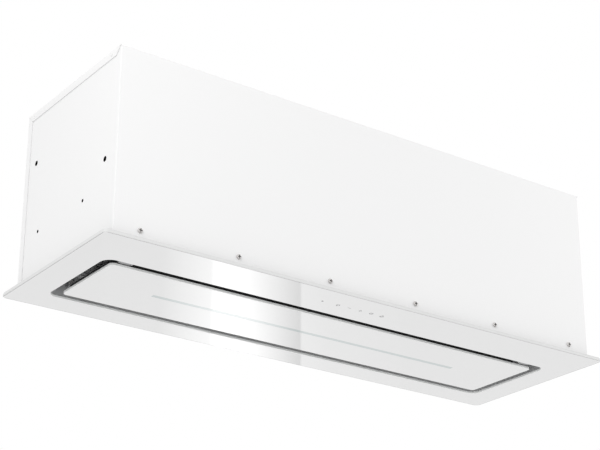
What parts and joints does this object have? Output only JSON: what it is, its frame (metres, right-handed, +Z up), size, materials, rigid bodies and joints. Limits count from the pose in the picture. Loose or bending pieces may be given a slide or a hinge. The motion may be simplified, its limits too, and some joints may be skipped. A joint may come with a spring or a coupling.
{
  "type": "ceiling range hood",
  "caption": "White ceiling range hood: sheet-metal casing, glass frame against the ceiling, hinged glass panel with a light line and perimeter air slots.",
  "frame": {"origin": "centre of the ceiling cut-out, on the ceiling plane that the back of the flange lies against", "axes": "+X along the hood, to the right for someone facing the touch controls; +Y away from the touch controls; +Z up into the ceiling"},
  "size_m": [1, 0.332, 0.348],
  "materials": {
    "casing_paint": "white powder coat, satin",
    "carrier_steel": "white powder coat, satin",
    "frame_glass": "back-painted white float glass, polished",
    "panel_glass_white": "back-painted white float glass, polished",
    "liner_sheet": "galvanised sheet, dull",
    "hinge_steel": "zinc-plated steel",
    "screw_zinc": "zinc-plated steel",
    "tray_paint": "dark paint, satin",
    "light_channel": "anodised",
    "light_board": "white solder resist",
    "opal_window": "opal, frosted",
    "magnet_steel": "nickel-plated",
    "blower_sheet": "galvanised sheet",
    "wheel_sheet": "galvanised sheet",
    "shaft_steel": "ground steel",
    "motor_case": "cast",
    "collar_plastic": "moulded",
    "flap_plastic": "moulded",
    "circuit_board": "solder resist",
    "capacitor_case": "moulded",
    "driver_plastic": "moulded",
    "gland_plastic": "moulded",
    "filter_aluminium": "rolled, satin",
    "filter_net": "expanded layers",
    "catch_plastic": "moulded"
  },
  "bodies": {
    "casing": {"casing_wrap": "casing_paint", "rear_panel": "casing_paint", "top_panel": "casing_paint", "lid_rivets": "casing_paint", "carrier_frame": "carrier_steel", "glass_frame": "frame_glass", "recess_liner": "liner_sheet", "front_screws": "screw_zinc", "rear_screws": "screw_zinc", "liner_screws": "screw_zinc", "catch_arms": "hinge_steel", "catch_magnets": "magnet_steel", "filter_shelf": "liner_sheet", "filter_rail_front": "liner_sheet", "filter_rail_rear": "liner_sheet", "blower_scroll": "blower_sheet", "motor": "motor_case", "motor_spider": "hinge_steel", "outlet_collar": "collar_plastic", "collar_screws": "screw_zinc", "damper_rod": "shaft_steel", "touch_board": "circuit_board", "touch_holder": "collar_plastic", "control_box": "liner_sheet", "control_lid": "liner_sheet", "control_board": "circuit_board", "capacitor": "capacitor_case", "capacitor_clip": "hinge_steel", "light_driver": "driver_plastic", "cable_gland": "gland_plastic", "gland_locknut": "gland_plastic", "hinge_bracket_left": "hinge_steel", "hinge_pin_left": "shaft_steel", "blower_side_left": "blower_sheet", "blower_hanger_left": "blower_sheet", "hinge_bracket_right": "hinge_steel", "hinge_pin_right": "shaft_steel", "blower_side_right": "blower_sheet", "blower_hanger_right": "blower_sheet", "filter_frame_left": "filter_aluminium", "filter_mesh_left": "filter_net", "filter_frame_middle": "filter_aluminium", "filter_mesh_middle": "filter_net", "filter_frame_right": "filter_aluminium", "filter_mesh_right": "filter_net"},
    "panel": {"panel_glass": "panel_glass_white", "panel_tray": "tray_paint", "led_profile": "light_channel", "led_board": "light_board", "led_diffuser": "opal_window", "hinge_leaf_left": "hinge_steel", "hinge_leaf_right": "hinge_steel", "catch_strikers": "hinge_steel"},
    "wheel": {"impeller": "wheel_sheet", "motor_shaft": "shaft_steel"},
    "flap_front": {"damper_flap_front": "flap_plastic"},
    "flap_rear": {"damper_flap_rear": "flap_plastic"},
    "catch_left": {"filter_catch_left": "catch_plastic"},
    "catch_middle": {"filter_catch_middle": "catch_plastic"},
    "catch_right": {"filter_catch_right": "catch_plastic"}
  },
  "joints": [
    {"name": "panel_hinge", "type": "hinge", "parent": "casing", "child": "panel", "pos_m": [0, -0.062, 0.004], "axis": [-1, 0, 0], "range_deg": [0, 90]},
    {"name": "wheel_spin", "type": "hinge", "parent": "casing", "child": "wheel", "pos_m": [0, -0.028, 0.19], "axis": [1, 0, 0], "continuous": true},
    {"name": "damper_front", "type": "hinge", "parent": "casing", "child": "flap_front", "pos_m": [0, 0.05578, 0.324], "axis": [-1, 0, 0], "range_deg": [0, 75]},
    {"name": "damper_rear", "type": "hinge", "parent": "casing", "child": "flap_rear", "pos_m": [0, 0.05578, 0.324], "axis": [1, 0, 0], "range_deg": [0, 75]},
    {"name": "filter_catch_left", "type": "slide", "parent": "casing", "child": "catch_left", "axis": [0, 1, 0], "range_m": [0, 0.006], "stiffness_N_per_m": 300, "springref_m": -0.003},
    {"name": "filter_catch_middle", "type": "slide", "parent": "casing", "child": "catch_middle", "axis": [0, 1, 0], "range_m": [0, 0.006], "stiffness_N_per_m": 300, "springref_m": -0.003},
    {"name": "filter_catch_right", "type": "slide", "parent": "casing", "child": "catch_right", "axis": [0, 1, 0], "range_m": [0, 0.006], "stiffness_N_per_m": 300, "springref_m": -0.003}
  ]
}
